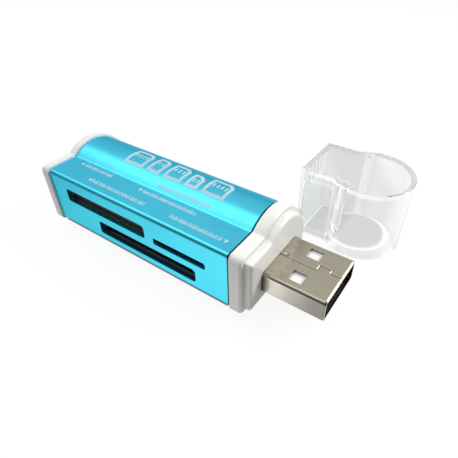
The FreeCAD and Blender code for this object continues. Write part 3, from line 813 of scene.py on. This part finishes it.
# Floor: a wide white table top, seen as white by the camera and through the cap, with a faint shadow.
# Metal mirrors a painted pool of light on it before the collar, which fades along the reader, past the
# plug, far in front and behind it, with painted shadow under the reader; the paper's soft bounce follows
# it.
# It has painted shade inside the cap, a painted highlight ring at the cap's mouth, and a painted contact
# shadow close under the sleeve.
def ramp_of(tree, value, stops, interpolation="LINEAR"):
    """Output of the colours at stops along a value."""
    node = add_node(tree, "ShaderNodeValToRGB")
    ramp = node.color_ramp
    ramp.interpolation = interpolation
    ramp.elements.remove(ramp.elements[1])
    ramp.elements[0].position = stops[0][0]
    ramp.elements[0].color = (*stops[0][1], 1)
    for position, colour in stops[1:]:
        stop = ramp.elements.new(position)
        stop.color = (*colour, 1)
    tree.links.new(value, node.inputs["Fac"])
    return node.outputs["Color"]


def shader_by_ray(tree, soft, mirrored, seen):
    """Shader that differs for soft light, for mirrored rays and for rays that see it."""
    rays = add_node(tree, "ShaderNodeLightPath")
    sees = combined(tree, "MAXIMUM", rays.outputs["Is Camera Ray"], rays.outputs["Is Transmission Ray"])
    unseen = add_node(tree, "ShaderNodeMixShader")
    choice = add_node(tree, "ShaderNodeMixShader")
    tree.links.new(rays.outputs["Is Glossy Ray"], unseen.inputs[0])
    tree.links.new(soft, unseen.inputs[1])
    tree.links.new(mirrored, unseen.inputs[2])
    tree.links.new(sees, choice.inputs[0])
    tree.links.new(unseen.outputs[0], choice.inputs[1])
    tree.links.new(seen, choice.inputs[2])
    return choice.outputs[0]


def glow_and_catch(tree, colour, strength, catch):
    """Glow of a colour and strength, with a dull surface added that catches shadows."""
    light = add_node(tree, "ShaderNodeEmission")
    light.inputs["Color"].default_value = (*colour, 1)
    surface = add_node(tree, "ShaderNodeBsdfDiffuse")
    surface.inputs["Color"].default_value = (catch, catch, catch, 1)
    both = add_node(tree, "ShaderNodeAddShader")
    tree.links.new(strength, light.inputs["Strength"])
    tree.links.new(light.outputs[0], both.inputs[0])
    tree.links.new(surface.outputs[0], both.inputs[1])
    return both.outputs[0]


floor_half = 3.0
floor_mesh = bpy.data.meshes.new("floor")
shape = bmesh.new()
corners = [
    shape.verts.new((x * floor_half, y * floor_half, 0)) for x, y in ((-1, -1), (1, -1), (1, 1), (-1, 1))
]
shape.faces.new(corners)
shape.to_mesh(floor_mesh)
shape.free()
floor = bpy.data.objects.new("floor", floor_mesh)
bpy.context.scene.collection.objects.link(floor)

floor_white = bpy.data.materials.new("floor_white")
floor_white.use_nodes = True
tree = floor_white.node_tree
tree.nodes.clear()
surface = add_node(tree, "ShaderNodeOutputMaterial")
axes = surface_place(tree)

# Painted pool of light for mirrored rays, with painted shadow under the reader.
pool_start = -0.06
pool_end = 0.05
pool_length = pool_end - pool_start
pool_levels = ((-0.06, 0.5), (-0.02, 0.8), (0.004, 1.0), (0.014, 1.0), (0.027, 0.4), (0.04, 0.15))
level_in_front = 0.15
level_under = 0.15
level_behind = 0.5
front_range = (sleeve_low.y - 0.037, sleeve_low.y - 0.015)
face_range = (sleeve_low.y - 0.0013, sleeve_low.y - 0.0005)
plug_range = (sleeve_high.x + 0.001, sleeve_high.x + 0.003)
back_range = (-0.004, 0.006)
share = add_node(tree, "ShaderNodeMapRange")
share.inputs["From Min"].default_value = pool_start
share.inputs["From Max"].default_value = pool_end
tree.links.new(axes["X"], share.inputs["Value"])
pool_stops = [((x - pool_start) / pool_length, (level, level, level)) for x, level in pool_levels]
pool = ramp_of(tree, share.outputs["Result"], pool_stops, "EASE")
in_front = fade(tree, axes["Y"], *front_range, level_in_front, 1.0)
past_front = fade(tree, axes["Y"], *face_range)
before_plug = fade(tree, axes["X"], *plug_range, 1.0, 0.0)
under_reader = combined(tree, "MULTIPLY", past_front, before_plug)
lit = combined(tree, "MULTIPLY", pool, in_front)
lit = combined(tree, "MULTIPLY", lit, fade(tree, under_reader, 0, 1, 1.0, level_under))
floor_level = add_node(tree, "ShaderNodeMix", data_type="FLOAT")
floor_level.inputs["B"].default_value = level_behind
tree.links.new(fade(tree, axes["Y"], *back_range), floor_level.inputs["Factor"])
tree.links.new(lit, floor_level.inputs["A"])

# The paper's soft bounce follows the same painted pool.
paper_share = 0.68
paper_least = 0.05
paper_level = add_node(tree, "ShaderNodeMath", operation="MULTIPLY_ADD")
paper_level.inputs[1].default_value = paper_share
paper_level.inputs[2].default_value = paper_least
paper = add_node(tree, "ShaderNodeBsdfDiffuse")
tree.links.new(floor_level.outputs["Result"], paper_level.inputs[0])
tree.links.new(paper_level.outputs[0], paper.inputs["Color"])

# Painted shade inside the cap, a painted highlight ring at its mouth and a painted contact shadow under the
# sleeve.
open_level = 0.9
round_level = 0.72
flat_level = 0.62
ring_highlight_gain = 0.25
contact_shadow_level = 0.15
mouth_centre = (cap_round_x - 0.0009, cap_middle + 0.0013, 0)
mouth_radius = 0.006
ring_rise = (mouth_radius, 0.0063)
ring_fall = (0.0067, 0.0071)
flat_start = cap_low.x + 0.002
flat_end = rib_x - 0.0008
flat_half = 0.0054
inside_fade = 0.0004
contact_front = (sleeve_low.y + 0.0014, sleeve_low.y + 0.0017)
contact_back = (bulge_axis_y, sleeve_high.y)
contact_rear = (sleeve_low.x - 0.0021, sleeve_low.x - 0.0019)
contact_end = (sleeve_high.x - 0.0022, sleeve_high.x - 0.0014)
place = add_node(tree, "ShaderNodeTexCoord")
from_centre = distance_to(tree, place.outputs["Object"], mouth_centre)
in_round = fade(tree, from_centre, mouth_radius - inside_fade, mouth_radius, 1.0, 0.0)
on_ring = band(tree, from_centre, ring_rise, ring_fall)
flat_length = band(
    tree, axes["X"], (flat_start - inside_fade, flat_start), (flat_end, flat_end + inside_fade)
)
from_flat_middle = distance_from(tree, axes["Y"], cap_middle)
flat_width = fade(tree, from_flat_middle, flat_half, flat_half + inside_fade, 1.0, 0.0)
in_flat = combined(tree, "MULTIPLY", flat_length, flat_width)
round_shade = fade(tree, in_round, 0, 1, open_level, round_level)
flat_shade = fade(tree, in_flat, 0, 1, open_level, flat_level)
seen_level = combined(tree, "MINIMUM", round_shade, flat_shade)
seen_level = combined(tree, "ADD", seen_level, fade(tree, on_ring, 0, 1, 0.0, ring_highlight_gain))
contact_depth = band(tree, axes["Y"], contact_front, contact_back)
contact_length = band(tree, axes["X"], contact_rear, contact_end)
in_contact = combined(tree, "MULTIPLY", contact_depth, contact_length)
seen_level = combined(tree, "MULTIPLY", seen_level, fade(tree, in_contact, 0, 1, 1.0, contact_shadow_level))

seen_white = glow_and_catch(tree, (1, 1, 1), seen_level, catch=0.12)
mirrored_white = glow_and_catch(tree, (0.97, 1, 0.95), floor_level.outputs["Result"], catch=0.3)
shown = shader_by_ray(tree, paper.outputs[0], mirrored_white, seen_white)
tree.links.new(shown, surface.inputs["Surface"])
floor_mesh.materials.append(floor_white)


# Light: a pale studio, darker in front, with a large soft lamp overhead and a smaller one behind the plug.
# Metal mirrors one sky, and soft light comes from another that is brightest high over the rear end.
# The camera sees a white backdrop past the floor, and so does the clear cap.
def soft_lamp(name, place, facing, width, depth, watts):
    """Rectangular lamp at a place, with its lit side turned along a direction."""
    data = bpy.data.lights.new(name, "AREA")
    data.shape = "RECTANGLE"
    data.size = width
    data.size_y = depth
    data.energy = watts
    lamp = bpy.data.objects.new(name, data)
    lamp.location = place
    lamp.rotation_euler = Vector(facing).to_track_quat("-Z", "Y").to_euler()
    bpy.context.scene.collection.objects.link(lamp)


bright_side = (-0.55, 0.5, 0.67)
mirrored_stops = (
    (0.34, (0.08, 0.08, 0.08)),
    (0.52, (0.1, 0.1, 0.1)),
    (0.7, (0.39, 0.4, 0.42)),
    (0.86, (0.47, 0.48, 0.51)),
    (1.0, (0.74, 0.75, 0.8)),
)
fill_side = (-0.5, -0.15, 0.85)
fill_range = (-0.6, 1.0)
fill_low = 0.08
fill_high = 0.66
backdrop_white = (0.97, 0.97, 0.97, 1)
world = bpy.data.worlds.new("studio")
bpy.context.scene.world = world
world.use_nodes = True
tree = world.node_tree
tree.nodes.clear()
sky = add_node(tree, "ShaderNodeOutputWorld")
place = add_node(tree, "ShaderNodeTexCoord")
half_range = add_node(tree, "ShaderNodeMath", operation="MULTIPLY_ADD")
half_range.inputs[1].default_value = 0.5
half_range.inputs[2].default_value = 0.5
tree.links.new(reach_toward(tree, place.outputs["Generated"], bright_side), half_range.inputs[0])
glow = add_node(tree, "ShaderNodeBackground")
tree.links.new(ramp_of(tree, half_range.outputs[0], mirrored_stops), glow.inputs["Color"])
toward_fill = reach_toward(tree, place.outputs["Generated"], fill_side)
fill = add_node(tree, "ShaderNodeBackground")
tree.links.new(fade(tree, toward_fill, *fill_range, fill_low, fill_high), fill.inputs["Color"])
backdrop = add_node(tree, "ShaderNodeBackground")
backdrop.inputs["Color"].default_value = backdrop_white
shown = shader_by_ray(tree, fill.outputs[0], glow.outputs[0], backdrop.outputs[0])
tree.links.new(shown, sky.inputs["Surface"])
soft_lamp(
    "overhead_lamp", place=(-0.3, -0.105, 0.5), facing=(0, 0, -1), width=0.75, depth=0.39, watts=1.08
)
soft_lamp(
    "back_right_lamp",
    place=(0.14, 0.12, 0.14),
    facing=(-0.122, -0.13, -0.134),
    width=0.12,
    depth=0.12,
    watts=0.36,
)


# Camera: close to the part, looking down on its front and plug end as the photograph does.
# Its place is measured from the sleeve's plug end, front face and mid-height.
picture_side = 458
sensor_side = 36.0
sleeve_corner = Vector((sleeve_high.x, sleeve_low.y, bulge_axis_z))
camera_offset = Vector((0.027607, -0.037179, 0.050454))
camera_place = sleeve_corner + camera_offset
camera_yaw = math.radians(34.096)
camera_pitch = math.radians(-39.189)
camera_roll = math.radians(0.107)
focal_pixels = 407.081
axis_pixel = (242.108, 224.585)
forward = Vector(
    (
        -math.sin(camera_yaw) * math.cos(camera_pitch),
        math.cos(camera_yaw) * math.cos(camera_pitch),
        math.sin(camera_pitch),
    )
)
level_right = forward.cross(Vector((0, 0, 1))).normalized()
level_up = level_right.cross(forward)
right = level_right * math.cos(camera_roll) + level_up * math.sin(camera_roll)
up = level_up * math.cos(camera_roll) - level_right * math.sin(camera_roll)
camera_data = bpy.data.cameras.new("camera")
camera_data.sensor_width = sensor_side
camera_data.lens = focal_pixels / picture_side * sensor_side
camera_data.shift_x = 0.5 - axis_pixel[0] / picture_side
camera_data.shift_y = axis_pixel[1] / picture_side - 0.5
camera_data.clip_start = 0.001
camera = bpy.data.objects.new("camera", camera_data)
camera_turn = Matrix((right, up, -forward)).transposed()
camera.matrix_world = Matrix.Translation(camera_place) @ camera_turn.to_4x4()
bpy.context.scene.collection.objects.link(camera)
bpy.context.scene.camera = camera
bpy.context.scene.view_settings.view_transform = "Standard"
